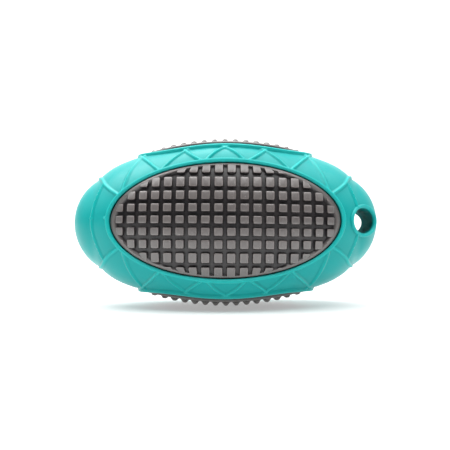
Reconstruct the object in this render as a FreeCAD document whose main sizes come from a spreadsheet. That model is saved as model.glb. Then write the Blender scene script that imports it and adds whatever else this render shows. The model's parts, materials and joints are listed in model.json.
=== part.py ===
import FreeCAD, Part
import os
import re
from FreeCAD import Placement, Rotation, Vector

# Four-sided rubber curry brush. Millimetres, +Z up, origin at the centre of the brush.
# +X points at the end with the hang hole, -Y is the front side, with the large waffle pad.
# The brush is a rounded four-sided spheroid. Its surface is worked out at several depths
# below the crest of the frame's rims: the frame, the pads and the core share it.

doc = FreeCAD.newDocument("curry_brush")

# ---------------------------------------------------------------- driving dimensions
DIMENSIONS = {
    "corner_length": 72.2,  # half length of the spheroid that rounds the four corners
    "corner_radius": 45.5,
    "side_length": 80.7,  # half length of the ellipse that flattens each side
    "side_height": 39.5,
    "nose_place": 52.5,  # centre of each end's dome
    "nose_length": 23.7,
    "nose_radius": 25.4,
    "relief": 1.2,  # rims stand this far above the frame's panels
    "wall_depth": 4.2,  # rim crest to the inside of the frame
    "flange_depth": 6.2,  # rim crest to the underside of the pads' flanges
    "core_depth": 8.8,  # rim crest to the inside of the core
    "fit_gap": 0.1,
    "opening_gap": 0.3,
    "front_opening_length": 52.5,  # half sizes of the oval openings
    "side_opening_length": 41.5,
    "opening_width": 25.9,
    "rim_width": 2.1,
    "flange_width": 2.0,
    "pad_height": 40.8,  # from the centre to the tips of a pad's middle teeth
    "waffle_dome_length": 73.4,  # half sizes of the domes through the teeth's tips
    "waffle_dome_width": 49.8,
    "stud_dome_length": 72.5,
    "stud_dome_width": 62.0,
    "tooth_height": 1.7,
    "margin_width": 1.8,  # smooth edge of a pad
    "column_pitch": 5.62,  # waffle pads
    "row_pitch": 5.4,
    "column_groove": 1.75,
    "row_groove": 1.7,
    "stud_pitch": 4.95,  # studded pads
    "stud_diameter": 3.2,
    "hole_place": 64.6,
    "hole_diameter": 12.0,
    "hole_boss_diameter": 15.2,
    "peg_place": 62.0,
    "peg_diameter": 5.0,
    "peg_length": 5.0,
    "peg_boss_diameter": 9.0,
    "core_length": 52.0,
    "screw_x": 24.0,
    "screw_z": 11.0,
    "screw_boss_diameter": 8.0,
    "screw_diameter": 3.0,
    "screw_length": 16.0,
    "screw_seat": 7.0,  # depth of the head's seat behind the core's joint
    "screw_head_diameter": 5.6,
    "screw_head_height": 2.2,
    "screw_recess_diameter": 6.4,
    "screw_clearance_diameter": 3.4,
    "drive_width": 1.0,
    "drive_length": 3.9,
    "reach": 60.0,  # longer than the brush is deep, for cutting tools
}

sheet = doc.addObject("Spreadsheet::Sheet", "dims")
for row, (alias, value) in enumerate(DIMENSIONS.items(), start=1):
    sheet.set("A%d" % row, alias)
    sheet.set("B%d" % row, str(value))
    sheet.setAlias("B%d" % row, alias)
doc.recompute()

COLUMN_GROOVES = 17
ROW_GROOVES = 8

X_AXIS = Vector(1, 0, 0)
Z_AXIS = Vector(0, 0, 1)
OVAL_ALONG_Y = Placement(Vector(0, 0, 0), Rotation(X_AXIS, 90))
COLUMN_ALONG_Y = Placement(Vector(0, 0, 0), Rotation(X_AXIS, -90))


def size(text):
    """An expression in which every driving dimension is named through the sheet."""
    return re.sub("[a-z]+(_[a-z]+)+|relief|reach", r"dims.\g<0>", text)


def bind(obj, **expressions):
    for name, text in expressions.items():
        obj.setExpression(name, size(text))


def place(obj, x="0", y="0", z="0"):
    for axis, text in (("x", x), ("y", y), ("z", z)):
        obj.setExpression(".Placement.Base." + axis, size(text))
    return obj


# ---------------------------------------------------------------- small building helpers
def fuse(name, *shapes):
    obj = doc.addObject("Part::MultiFuse", name)
    obj.Shapes = list(shapes)
    return obj


def common(name, *shapes):
    obj = doc.addObject("Part::MultiCommon", name)
    obj.Shapes = list(shapes)
    return obj


def cut(name, base, *tools):
    for number, tool in enumerate(tools, start=1):
        obj = doc.addObject("Part::Cut", "%s_cut%d" % (name, number))
        obj.Base = base
        obj.Tool = tool
        base = obj
    return base


def extrude(name, profile, ahead, behind="0"):
    obj = doc.addObject("Part::Extrusion", name)
    obj.Base = profile
    obj.DirMode = "Normal"
    obj.Solid = True
    bind(obj, LengthFwd=ahead, LengthRev=behind)
    return obj


def oval_prism(name, length, width, upright, ahead="reach", behind="reach"):
    """An oval column, upright along Z or lying along Y, with the oval's half sizes."""
    oval = doc.addObject("Part::Ellipse", name + "_oval")
    bind(oval, MajorRadius=length, MinorRadius=width)
    if not upright:
        oval.Placement = OVAL_ALONG_Y
    return extrude(name, oval, ahead, behind)


def ellipsoid(name, length, depth, height, middle="0"):
    """An ellipsoid with its half sizes along X, Y and Z."""
    obj = doc.addObject("Part::Ellipsoid", name)
    bind(obj, Radius1=height, Radius2=length, Radius3=depth)
    return place(obj, middle)


def cylinder(name, diameter, length, x="0", y="0", z="0"):
    """A cylinder that runs towards the back from its foot."""
    obj = doc.addObject("Part::Cylinder", name)
    bind(obj, Radius="( %s ) / 2" % diameter, Height=length)
    obj.Placement = COLUMN_ALONG_Y
    return place(obj, x, y, z)


def half_block(name, side):
    """A block that holds the front, back, bottom or top half of the brush."""
    obj = doc.addObject("Part::Box", name)
    split_along_y = side in ("front", "back")
    start = "-reach" if side in ("front", "bottom") else "0"
    bind(
        obj,
        Length="4 * reach",
        Width="reach" if split_along_y else "2 * reach",
        Height="2 * reach" if split_along_y else "reach",
    )
    return place(
        obj,
        "-2 * reach",
        start if split_along_y else "-reach",
        "-reach" if split_along_y else start,
    )


# ---------------------------------------------------------------- shared surface
def brush_form(name, depth):
    """The whole brush's form, a given depth below the rims' crest."""
    radius = "corner_radius - " + depth
    corners = ellipsoid(name + "_corners", "corner_length - " + depth, radius, radius)
    length, radius = "nose_length - " + depth, "nose_radius - " + depth
    noses = [
        ellipsoid(name + "_left_nose", length, radius, radius, "-nose_place"),
        ellipsoid(name + "_right_nose", length, radius, radius, "nose_place"),
    ]
    flats = [
        oval_prism(
            name + "_" + way,
            "side_length - " + depth,
            "side_height - " + depth,
            upright,
        )
        for way, upright in (("front_to_back", True), ("top_to_bottom", False))
    ]
    return common(name, fuse(name + "_round", corners, *noses), *flats)


rim_form = brush_form("rim_form", "0")
panel_form = brush_form("panel_form", "relief")
inner_form = brush_form("inner_form", "wall_depth")
seat_form = brush_form("seat_form", "( wall_depth + fit_gap )")
flange_form = brush_form("flange_form", "( flange_depth - fit_gap )")
shoulder_form = brush_form("shoulder_form", "flange_depth")
hollow_form = brush_form("hollow_form", "core_depth")
halves = {side: half_block(side + "_half", side) for side in ("front", "back", "bottom", "top")}

OPENINGS = {
    "front": ("front_opening_length", False),
    "side": ("side_opening_length", True),
}


def opening_prism(name, kind, extra):
    """The through column of a pair of opposite openings, wider by extra all round."""
    length, upright = OPENINGS[kind]
    return oval_prism(
        name, "%s + %s" % (length, extra), "opening_width + " + extra, upright
    )


# ---------------------------------------------------------------- frame halves
def raised_rims():
    """The rounded rims round the four openings, down to the inside of the frame."""
    rings = []
    for kind in OPENINGS:
        column = opening_prism("rim_%s_column" % kind, kind, "rim_width")
        rings.append(common("rim_%s_ring" % kind, rim_form, column))
    return rings


def frame_shell():
    """The whole frame before it is parted: wall, rims, openings, bosses and hang hole."""
    hang_boss = common(
        "hang_boss",
        rim_form,
        cylinder("hang_tube", "hole_boss_diameter", "2 * reach", "hole_place", "-reach"),
    )
    outside = fuse("frame_outside", panel_form, *raised_rims())
    openings = [opening_prism("open_" + kind, kind, "0") for kind in OPENINGS]
    shell = cut("frame_wall", outside, inner_form, *openings)
    peg_boss = common(
        "peg_boss",
        panel_form,
        cylinder("peg_post", "peg_boss_diameter", "2 * reach", "-peg_place", "-reach"),
    )
    whole = fuse("frame_whole", shell, hang_boss, peg_boss)
    bore = cylinder("hang_bore", "hole_diameter", "2 * reach", "hole_place", "-reach")
    return cut("frame_bored", whole, bore)


def front_frame(shell):
    """Front half of the frame, with the locating peg at the end without a hole."""
    half = common("front_frame_half", shell, halves["front"])
    peg = cylinder("peg", "peg_diameter", "2 * peg_length", "-peg_place", "-peg_length")
    return fuse("front_frame", half, peg)


def back_frame(shell):
    """Back half of the frame, with the socket that takes the front half's peg."""
    half = common("back_frame_half", shell, halves["back"])
    socket = cylinder(
        "peg_socket",
        "peg_diameter + fit_gap",
        "peg_length + opening_gap",
        "-peg_place",
    )
    return cut("back_frame", half, socket)


# ---------------------------------------------------------------- pads
def pad_dome(name, kind, depth):
    """A pad's crowned surface, a given depth below the tips of its teeth."""
    height = "pad_height - " + depth
    if kind == "side":
        return ellipsoid(name, "stud_dome_length - " + depth, "stud_dome_width - " + depth, height)
    return ellipsoid(name, "waffle_dome_length - " + depth, height, "waffle_dome_width - " + depth)


def groove_slabs(name, count, pitch, groove, along_x):
    """Evenly spaced slabs as wide as the grooves of a waffle pad's pattern."""
    slabs = []
    for number in range(count):
        step = number - (count - 1) / 2
        slab = doc.addObject("Part::Box", "%s%d" % (name, number + 1))
        wide = "2 * reach"
        bind(
            slab,
            Length=wide if along_x else groove,
            Width=wide,
            Height=groove if along_x else wide,
        )
        offset = "%s * %s - %s / 2" % (step, pitch, groove)
        place(
            slab,
            "-reach" if along_x else offset,
            "-reach",
            offset if along_x else "-reach",
        )
        slabs.append(slab)
    group = doc.addObject("Part::Compound", name)
    group.Links = slabs
    return group


def waffle_tools():
    """The cutters for the grooves, kept off the pad's smooth margin and its floor."""
    field = opening_prism("waffle_field", "front", "0 - opening_gap - margin_width")
    floor = pad_dome("waffle_floor", "front", "tooth_height")
    ways = [
        groove_slabs("column_slab", COLUMN_GROOVES, "column_pitch", "column_groove", False),
        groove_slabs("row_slab", ROW_GROOVES, "row_pitch", "row_groove", True),
    ]
    return [
        cut("groove%d" % way, common("groove_in_field%d" % way, slabs, field), floor)
        for way, slabs in enumerate(ways, start=1)
    ]


def stud_grid():
    """Upright studs on a square grid inside the pad's smooth margin."""
    pitch = sheet.stud_pitch
    radius = sheet.stud_diameter / 2
    gap = sheet.opening_gap + sheet.margin_width + radius
    long_reach = sheet.side_opening_length - gap
    wide_reach = sheet.opening_width - gap
    sketch = doc.addObject("Sketcher::SketchObject", "stud_sketch")
    columns = int(long_reach // pitch)
    rows = int(wide_reach // pitch)
    for column in range(-columns, columns + 1):
        for row in range(-rows, rows + 1):
            x, y = column * pitch, row * pitch
            if (x / long_reach) ** 2 + (y / wide_reach) ** 2 <= 1:
                sketch.addGeometry(Part.Circle(Vector(x, y, 0), Z_AXIS, radius))
    return extrude("stud_columns", sketch, "reach", "reach")


def pad_flange(kind):
    """The layer under the frame's wall that holds a pair of opposite pads in."""
    column = opening_prism("flange_%s_column" % kind, kind, "flange_width")
    layer = common("flange_%s_layer" % kind, seat_form, column)
    return cut("flange_" + kind, layer, flange_form)


def pad_blank(kind):
    """A pair of opposite pads' plugs and flanges, with the height of their teeth."""
    crown = pad_dome("crown_" + kind, kind, "0")
    plug = opening_prism("plug_" + kind, kind, "0 - opening_gap")
    body = cut("plug_body_" + kind, common("plug_crowned_" + kind, crown, plug), flange_form)
    return fuse("pad_blank_" + kind, body, pad_flange(kind))


def waffle_pads():
    """The front pad and its repeat at the back."""
    whole = cut("waffle_pair", pad_blank("front"), *waffle_tools())
    return [
        common(name, whole, halves[side])
        for name, side in (("front_pad", "front"), ("back_pad", "back"))
    ]


def studded_pads():
    """The studs' field is sunk inside the pad's smooth margin, and the studs fill it."""
    blank = pad_blank("side")
    field = opening_prism("stud_field", "side", "0 - opening_gap - margin_width")
    above = cut("above_floor", field, pad_dome("stud_floor", "side", "tooth_height"))
    studs = common("studs", stud_grid(), pad_dome("stud_tips", "side", "0"))
    kept = cut("studs_outside", studs, flange_form)
    whole = fuse("studded_pair", cut("plain_pair", blank, above), kept)
    return [
        common(name, whole, halves[side])
        for name, side in (("bottom_pad", "bottom"), ("top_pad", "top"))
    ]


# ---------------------------------------------------------------- core and its screws
def screw_places():
    for end in ("", "-"):
        for level in ("", "-"):
            yield end + "screw_x", level + "screw_z"


def core_shell():
    """The hollow carrier inside the frame, with shoulders under the pads' flanges."""
    pockets = []
    for kind in OPENINGS:
        column = opening_prism(
            "pocket_%s_column" % kind, kind, "flange_width + opening_gap"
        )
        pockets.append(cut("pocket_" + kind, column, shoulder_form))
    seat = brush_form("core_form", "( wall_depth + 2 * fit_gap )")
    solid = cut("core_solid", seat, *pockets)
    hollow = cut("core_wall", solid, hollow_form)
    posts = [
        common(
            "core_post%d" % number,
            shoulder_form,
            cylinder("core_tube%d" % number, "screw_boss_diameter", "2 * reach", x, "-reach", z),
        )
        for number, (x, z) in enumerate(screw_places(), start=1)
    ]
    ends = doc.addObject("Part::Box", "core_ends")
    bind(ends, Length="2 * core_length", Width="2 * reach", Height="2 * reach")
    place(ends, "-core_length", "-reach", "-reach")
    return common("core_whole", fuse("core_posted", hollow, *posts), ends)


def front_core(shell):
    """Front half of the core: its posts have the holes that the screws cut into."""
    half = common("front_core_half", shell, halves["front"])
    depth = "screw_length - screw_seat + fit_gap"
    holes = [
        cylinder("pilot%d" % number, "screw_diameter", depth, x, "0 - ( %s )" % depth, z)
        for number, (x, z) in enumerate(screw_places(), start=1)
    ]
    return cut("front_core", half, *holes)


def back_core(shell):
    """Back half of the core: its posts are recessed for the screws' heads."""
    half = common("back_core_half", shell, halves["back"])
    tools = []
    for number, (x, z) in enumerate(screw_places(), start=1):
        tools.append(
            cylinder("clearance%d" % number, "screw_clearance_diameter", "reach", x, "0", z)
        )
        tools.append(
            cylinder("recess%d" % number, "screw_recess_diameter", "reach", x, "screw_seat", z)
        )
    return cut("back_core", half, *tools)


def core_screws():
    """Four identical pan-head screws that close the core from the back."""
    screws = []
    for number, (x, z) in enumerate(screw_places(), start=1):
        tag = "screw%d" % number
        start = "screw_seat - screw_length"
        shank = cylinder(tag + "_shank", "screw_diameter", "screw_length", x, start, z)
        head = cylinder(
            tag + "_head", "screw_head_diameter", "screw_head_height", x, "screw_seat", z
        )
        slots = []
        for wide, high in (("drive_length", "drive_width"), ("drive_width", "drive_length")):
            slot = doc.addObject("Part::Box", "%s_%s" % (tag, wide))
            bind(slot, Length=wide, Width="screw_head_height", Height=high)
            place(
                slot,
                "%s - %s / 2" % (x, wide),
                "screw_seat + screw_head_height / 2",
                "%s - %s / 2" % (z, high),
            )
            slots.append(slot)
        screws.append(cut(tag, fuse(tag + "_body", shank, head), *slots))
    group = doc.addObject("Part::Compound", "core_screws")
    group.Links = screws
    return group


# ---------------------------------------------------------------- build, check, write
frame = frame_shell()
core = core_shell()
SUB_PARTS = {
    "front_frame": front_frame(frame),
    "back_frame": back_frame(frame),
    "front_core": front_core(core),
    "back_core": back_core(core),
    "core_screws": core_screws(),
}
SUB_PARTS.update(zip(("front_pad", "back_pad"), waffle_pads()))
SUB_PARTS.update(zip(("bottom_pad", "top_pad"), studded_pads()))
for label, obj in SUB_PARTS.items():
    for other in doc.Objects:
        if other is not obj and other.Label == label:
            other.Label = label + "_step"
    obj.Label = label
doc.recompute()

for obj in doc.Objects:
    if "Invalid" in obj.State or "Error" in obj.State:
        raise RuntimeError("%s failed: %s" % (obj.Label, obj.State))

EXPECTED_SOLIDS = {"core_screws": 4}
for label, obj in SUB_PARTS.items():
    shape = obj.Shape
    if shape.isNull() or not shape.isValid():
        raise RuntimeError(label + " has no valid shape")
    solids = len(shape.Solids)
    if solids != EXPECTED_SOLIDS.get(label, 1):
        raise RuntimeError("%s has %d solids" % (label, solids))
    box = shape.optimalBoundingBox(False)
    print(
        "%-12s %8.1f mm3  %7.2f %7.2f %7.2f  to %7.2f %7.2f %7.2f"
        % (label, shape.Volume, box.XMin, box.YMin, box.ZMin, box.XMax, box.YMax, box.ZMax)
    )

os.makedirs("parts", exist_ok=True)
for label, obj in SUB_PARTS.items():
    obj.Shape.exportStep("parts/%s.step" % label)
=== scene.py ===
import json
import math
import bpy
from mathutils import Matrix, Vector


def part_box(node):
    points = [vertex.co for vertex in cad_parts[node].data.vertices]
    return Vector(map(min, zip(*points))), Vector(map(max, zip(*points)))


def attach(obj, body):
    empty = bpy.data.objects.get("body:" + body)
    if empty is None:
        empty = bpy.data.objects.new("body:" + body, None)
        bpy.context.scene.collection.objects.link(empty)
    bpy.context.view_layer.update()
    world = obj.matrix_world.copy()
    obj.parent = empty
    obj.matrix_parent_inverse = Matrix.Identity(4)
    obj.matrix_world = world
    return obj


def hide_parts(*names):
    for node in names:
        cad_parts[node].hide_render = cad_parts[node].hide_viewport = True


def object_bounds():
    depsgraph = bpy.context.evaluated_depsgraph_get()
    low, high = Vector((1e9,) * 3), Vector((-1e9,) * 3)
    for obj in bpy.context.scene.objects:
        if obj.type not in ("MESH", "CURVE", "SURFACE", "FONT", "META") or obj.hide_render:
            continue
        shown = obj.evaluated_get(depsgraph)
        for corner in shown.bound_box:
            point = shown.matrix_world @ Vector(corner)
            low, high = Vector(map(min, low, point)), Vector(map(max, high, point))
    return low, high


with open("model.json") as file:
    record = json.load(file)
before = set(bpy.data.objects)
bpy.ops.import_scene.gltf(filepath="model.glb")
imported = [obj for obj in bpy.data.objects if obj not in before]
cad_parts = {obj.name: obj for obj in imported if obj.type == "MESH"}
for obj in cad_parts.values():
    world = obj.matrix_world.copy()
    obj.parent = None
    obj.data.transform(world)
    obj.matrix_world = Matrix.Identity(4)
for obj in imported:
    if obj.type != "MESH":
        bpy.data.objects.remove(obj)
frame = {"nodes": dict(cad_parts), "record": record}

from types import SimpleNamespace

import bpy
import numpy as np
from bpy.props import FloatProperty, FloatVectorProperty, PointerProperty
from mathutils import Vector

# A hand-held oval curry brush with four sides: a satin frame in two halves, large waffle
# pads at the front and back, and studded pads at the top and bottom. The shape functions
# work in millimetres in the brush's own frame: +X towards the hang hole, -Y out of the
# front pad, +Z out of the top pad.

bl_info = {
    "name": "Curry Brush Builder",
    "version": (1, 0, 0),
    "blender": (4, 5, 0),
    "location": "View3D > Sidebar > Curry Brush",
    "description": "Builds the frame and rubber pads of a four-sided oval curry brush",
    "category": "Add Mesh",
}

MM = 0.001
CAD_BOX = [list(corner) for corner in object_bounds()]
HALF_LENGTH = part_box("front_frame")[1][0]
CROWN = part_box("top_pad")[1][2]
FLANGE = 2.0 * MM  # hidden under the frame all round each pad
FRONT_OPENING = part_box("front_pad")[1][0] - FLANGE
SIDE_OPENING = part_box("top_pad")[1][0] - FLANGE
OPENING_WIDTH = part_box("front_pad")[1][2] - FLANGE
HANG_HOLE = frame["record"]["mounts"][0]
HUB_X = HANG_HOLE["pos_m"][0] / MM  # the hang hole's axis along the brush


# ---------------- sizes and colours
def length(name, description, default):
    """A length setting, in metres."""
    return FloatProperty(
        name=name, description=description, default=default, unit="LENGTH", precision=5
    )


def colour(name, description, default):
    """A colour setting, in linear light."""
    return FloatVectorProperty(
        name=name,
        description=description,
        default=default,
        size=3,
        min=0,
        max=1,
        subtype="COLOR",
    )


class BrushSizes(bpy.types.PropertyGroup):
    """Sizes of the frame and of the pads' teeth."""

    crown: length("Crown", "Centre to the tips of a pad's middle teeth", CROWN)
    front_opening: length(
        "Front opening", "Half length of the front and back openings", FRONT_OPENING
    )
    side_opening: length(
        "Side opening", "Half length of the top and bottom openings", SIDE_OPENING
    )
    opening_width: length("Opening width", "Half width of every opening", OPENING_WIDTH)
    rim_relief: length("Rim relief", "Height of the rims above the panels", 1.35 * MM)
    line_relief: length("Line relief", "Height of the raised zigzag lines", 0.8 * MM)
    line_width: length("Line width", "Width of a raised line at its foot", 2.1 * MM)
    tooth_height: length("Tooth height", "Height of the teeth over the pad", 1.7 * MM)
    stud_pitch: length("Stud pitch", "Spacing of the studs", 4.95 * MM)
    hole_radius: length(
        "Hole radius", "Radius of the hang hole", HANG_HOLE["dims"]["r_mm"] * MM
    )


class BrushColours(bpy.types.PropertyGroup):
    """Colours of the mouldings."""

    teal: colour("Teal", "The frame", (0.004, 0.36, 0.35))
    # Painted highlight: paler teal painted on the raised lines and rims, where light catches
    # them.
    teal_highlight: colour("Pale teal", "Painted highlight on the raised lines and rims", (0.012, 0.46, 0.435))
    tooth: colour("Tooth", "Tops of the pads' teeth", (0.135, 0.120, 0.116))
    # Painted highlight: paler colour painted on the teeth's rounded top edges and the studs'
    # tips.
    tooth_edge_highlight: colour("Tooth edge", "Painted highlight on the teeth's top edges", (0.27, 0.235, 0.225))
    # Painted shade: near black painted on the groove floors between the teeth, where shade
    # falls.
    floor: colour("Groove floor", "Painted shade between the teeth", (0.010, 0.009, 0.011))
    dust: colour("Dust", "Stray dust on the teeth", (0.42, 0.39, 0.38))
    hidden: colour("Core", "The carrier inside the brush", (0.05, 0.05, 0.055))


def sizes_in_mm(context):
    """The size settings in millimetres, as plain numbers."""
    group = context.scene.brush_sizes
    names = BrushSizes.__annotations__
    return SimpleNamespace(**{name: getattr(group, name) / MM for name in names})


# ---------------- the brush's form
SIDE_ELLIPSE = (79.5, 38.3)  # half length and height of the curve along each side
CORNER_ELLIPSE = (71.0, 44.3)  # the same for the curve that rounds the corners' ends
SEAM_LIP = 0.45  # height of the low lip along the seam
NOSE_PLACE, NOSE_RADIUS = 52.5, 23.8
NOSE_END = HALF_LENGTH / MM - SEAM_LIP
NOSE_LENGTH = NOSE_END - NOSE_PLACE
FORM_HEIGHT = SIDE_ELLIPSE[1]
SQUARENESS, SQUARE_REACH = 1.25, 29.0  # how four-sided the middle is, and how far along


def smooth_least(a, b, blend):
    """The lesser of a and b, rounded by a parabola of width blend where they cross."""
    mix = np.clip(0.5 + 0.5 * (b - a) / blend, 0, 1)
    return b + (a - b) * mix - blend * mix * (1 - mix)


def smooth_step(value, low, high):
    """0 below low and 1 above high, with the cubic 3t^2 - 2t^3 between."""
    t = np.clip((value - low) / (high - low), 0, 1)
    return t * t * (3 - 2 * t)


def ellipse_height(x, half_length, height):
    """Height of an ellipse over x: height times the root of 1 - (x / half_length)^2."""
    return height * np.sqrt(np.clip(1 - (x / half_length) ** 2, 0, None))


def side_height(x):
    """Distance of the panels from the axis at the middle of a side, at x.

    It is the lesser of a side ellipse and a shorter, taller corner ellipse, joined to
    the round nose by the greater of the two.
    """
    x = np.abs(x)
    side = ellipse_height(x, *SIDE_ELLIPSE)
    body = smooth_least(side, ellipse_height(x, *CORNER_ELLIPSE), 2.0)
    nose = ellipse_height(np.maximum(x - NOSE_PLACE, 0), NOSE_LENGTH, NOSE_RADIUS)
    blend = 0.9 * np.clip((NOSE_END - x) / 3, 0.001, 1)
    return np.where(x < NOSE_END, -smooth_least(-body, -nose, blend), NOSE_END - x)


def section_power(x):
    """Power n of the section |y|^n + |z|^n: four-sided in the middle, round at the ends."""
    return 2 + SQUARENESS * np.exp(-((x / SQUARE_REACH) ** 2))


def reach(x, y, z):
    """The section's own measure of the distance of (y, z) from the axis at x."""
    n = section_power(x)
    return (np.abs(y) ** n + np.abs(z) ** n) ** (1 / n)


def lift(x, across):
    """Height of the form over a point at x that lies across from the side's middle."""
    n = section_power(x)
    return np.clip(side_height(x) ** n - np.abs(across) ** n, 0, None) ** (1 / n)


def cast(directions):
    """Points where rays from the centre leave the form, found by halving an interval."""
    low = np.full(directions.shape[:-1], 0.3)
    high = np.full(directions.shape[:-1], 1.7)
    for halving in range(34):
        middle = (low + high) / 2
        x, y, z = np.moveaxis(directions * middle[..., None], -1, 0)
        inside = reach(x, y, z) < side_height(x)
        low, high = np.where(inside, middle, low), np.where(inside, high, middle)
    return directions * middle[..., None]


def form_normals(points):
    """Unit normals of the form: the slope of reach less side height, by differences."""
    step = 0.02
    slope = np.empty_like(points)
    for axis in range(3):
        shift = np.zeros(3)
        shift[axis] = step
        ahead = np.moveaxis(points + shift, -1, 0)
        behind = np.moveaxis(points - shift, -1, 0)
        rise = reach(*ahead) - side_height(ahead[0])
        slope[..., axis] = rise - reach(*behind) + side_height(behind[0])
    return slope / np.linalg.norm(slope, axis=-1, keepdims=True)


def to_dial(points):
    """Tilt from the front and turn round it of each point, on a sphere-like scale."""
    x, y, z = np.moveaxis(points, -1, 0)
    x, y, z = x / NOSE_END, y / FORM_HEIGHT, z / FORM_HEIGHT
    return np.stack([np.arctan2(np.hypot(x, z), -y), np.arctan2(z, x)], axis=-1)


def from_dial(dial):
    """Points of the form at the given tilt and turn."""
    tilt, turn = np.moveaxis(dial, -1, 0)
    ray = [
        np.sin(tilt) * np.cos(turn) * NOSE_END,
        -np.cos(tilt) * FORM_HEIGHT,
        np.sin(tilt) * np.sin(turn) * FORM_HEIGHT,
    ]
    return cast(np.stack(ray, axis=-1))


def even_steps(points, count):
    """The same path with count + 1 points, evenly spaced along it."""
    leg = np.linalg.norm(np.diff(points, axis=0), axis=1)
    along = np.concatenate([[0], np.cumsum(leg)])
    wanted = np.linspace(0, along[-1], count + 1)
    return np.stack([np.interp(wanted, along, c) for c in points.T], axis=-1)


def oval(half_length, half_width, count):
    """Points round an oval, as two arrays: length and width by cosine and sine."""
    angle = np.linspace(0, 2 * np.pi, count, endpoint=False)
    return half_length * np.cos(angle), half_width * np.sin(angle)


# ---------------- meshes
def signed_volume(points, faces):
    """Volume inside closed faces, which is negative if they point inwards."""
    total = 0.0
    for side in faces:
        first = points[side[:, 0]]
        for corner in range(1, side.shape[1] - 1):
            second, third = points[side[:, corner]], points[side[:, corner + 1]]
            total += np.einsum("ij,ij->", first, np.cross(second, third)) / 6
    return total


def make_piece(name, points, faces, values=None, sharp=40):
    """A mesh object from points in millimetres and arrays of three- or four-sided faces."""
    if signed_volume(points, faces) < 0:
        faces = [side[:, ::-1] for side in faces]
    mesh = bpy.data.meshes.new(name)
    corners = np.concatenate([side.ravel() for side in faces])
    totals = np.concatenate([np.full(len(side), side.shape[1]) for side in faces])
    mesh.vertices.add(len(points))
    mesh.vertices.foreach_set("co", (points * MM).astype(np.float32).ravel())
    mesh.loops.add(len(corners))
    mesh.loops.foreach_set("vertex_index", corners.astype(np.int32))
    mesh.polygons.add(len(totals))
    starts = np.concatenate([[0], np.cumsum(totals)[:-1]])
    mesh.polygons.foreach_set("loop_start", starts.astype(np.int32))
    mesh.update(calc_edges=True)
    mesh.validate()
    for label, value in (values or {}).items():
        layer = mesh.attributes.new(label, "FLOAT", "POINT")
        layer.data.foreach_set("value", value.astype(np.float32).ravel())
    smooth_shade(mesh, sharp)
    piece = bpy.data.objects.new(name, mesh)
    bpy.context.scene.collection.objects.link(piece)
    return piece


def smooth_shade(mesh, sharp):
    """Smooth shading with hard edges where faces meet at more than sharp degrees."""
    mesh.polygons.foreach_set("use_smooth", np.ones(len(mesh.polygons), dtype=bool))
    mesh.set_sharp_from_angle(angle=math.radians(sharp))


def wrapped_faces(rows, columns):
    """Faces of a grid that closes on itself both ways, like a ring."""
    row, column = np.meshgrid(np.arange(rows), np.arange(columns), indexing="ij")
    next_row, next_column = (row + 1) % rows, (column + 1) % columns
    corners = [
        row * columns + column,
        next_row * columns + column,
        next_row * columns + next_column,
        row * columns + next_column,
    ]
    return np.stack(corners, axis=-1).reshape(-1, 4)


def stack_faces(levels, count):
    """Faces of a pile of closed loops with a fan of triangles over each end's point.

    The points are the loops in order, then the first end's point and the last's.
    """
    quads = wrapped_faces(levels, count)[:-count, ::-1]
    place = np.arange(count)
    after = (place + 1) % count
    first, last = levels * count, levels * count + 1
    top = (levels - 1) * count
    fans = [
        np.stack([np.full(count, first), after, place], axis=-1),
        np.stack([np.full(count, last), top + place, top + after], axis=-1),
    ]
    return quads, np.concatenate(fans)


def repeat_faces(faces, size, copies):
    """The same faces for each of several copies of size points."""
    shift = (np.arange(copies) * size)[:, None, None]
    return (faces[None] + shift).reshape(-1, faces.shape[1])


# ---------------- raised lines on the frame
# Places along the brush, either side of its middle, where the raised lines stand: the feet
# on the large rims and the crossings beside the small rims, out to each corner's node.
# Each crossing also has its distance from the small opening and how far its lines run on.
LINE_FEET = (8.4, 10.3, 28.7, 29.6, 46.7, 48.2)
CROSSINGS = ((0.0, 2.2, 1.15), (18.1, 2.6, 1.18), (39.2, 6.8, 1.35))
CORNER_NODE, CORNER_ANGLE = 56.6, math.radians(43.3)
RING_BULGE = 5.4
LINE_BOW, CORNER_BOW = 0.9, 1.2  # how far a line bows away from straight
# Small moulding nubs on the front: place along the brush, height, width and relief.
NUBS = ((-62.0, 1.6, 2.4, 1.5), (-54.6, 1.6, 1.8, 1.2))


def on_strip(x, angle):
    """Points of the form at x and at an angle from the front side up to the top one."""
    n = section_power(x)
    radius = side_height(x) / (
        np.abs(np.cos(angle)) ** n + np.abs(np.sin(angle)) ** n
    ) ** (1 / n)
    return np.stack([x, -radius * np.cos(angle), radius * np.sin(angle)], axis=-1)


def foot_angle(x, sizes):
    """Angle of the crest of the front rim at x."""
    width = ellipse_height(x, sizes.front_opening + 1, sizes.opening_width + 1)
    return np.arctan2(width, lift(x, width))


def crossing_angle(x, gap, sizes):
    """Angle of a crossing at x that lies in front of the top opening by a gap."""
    width = ellipse_height(x, sizes.side_opening, sizes.opening_width) + gap
    return np.arctan2(lift(x, width), width)


def bowed_line(foot, place, angle, share, bow, sizes):
    """A line from its foot on the front rim to a place and angle, or a share of the way.

    With t from 0 to the share, place and angle run evenly from the foot by t, and the
    place bows outwards by 4 t (1 - t) of the bow.
    """
    t = np.linspace(0, share, 50)
    x = foot + (place - foot) * t + 4 * bow * t * (1 - t)
    start = foot_angle(np.array(foot), sizes)
    return on_strip(x, start + (angle - start) * t)


def ring_line():
    """The scalloped ring round a nose: arcs by cosine that bulge between the nodes."""
    angle = np.linspace(0, math.pi / 2, 90)
    front = np.cos(angle / CORNER_ANGLE * math.pi / 2)
    side = np.cos((math.pi / 2 - angle) / (math.pi / 2 - CORNER_ANGLE) * math.pi / 2)
    bulge = np.where(angle < CORNER_ANGLE, front, side)
    return on_strip(CORNER_NODE + RING_BULGE * bulge, angle)


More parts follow.
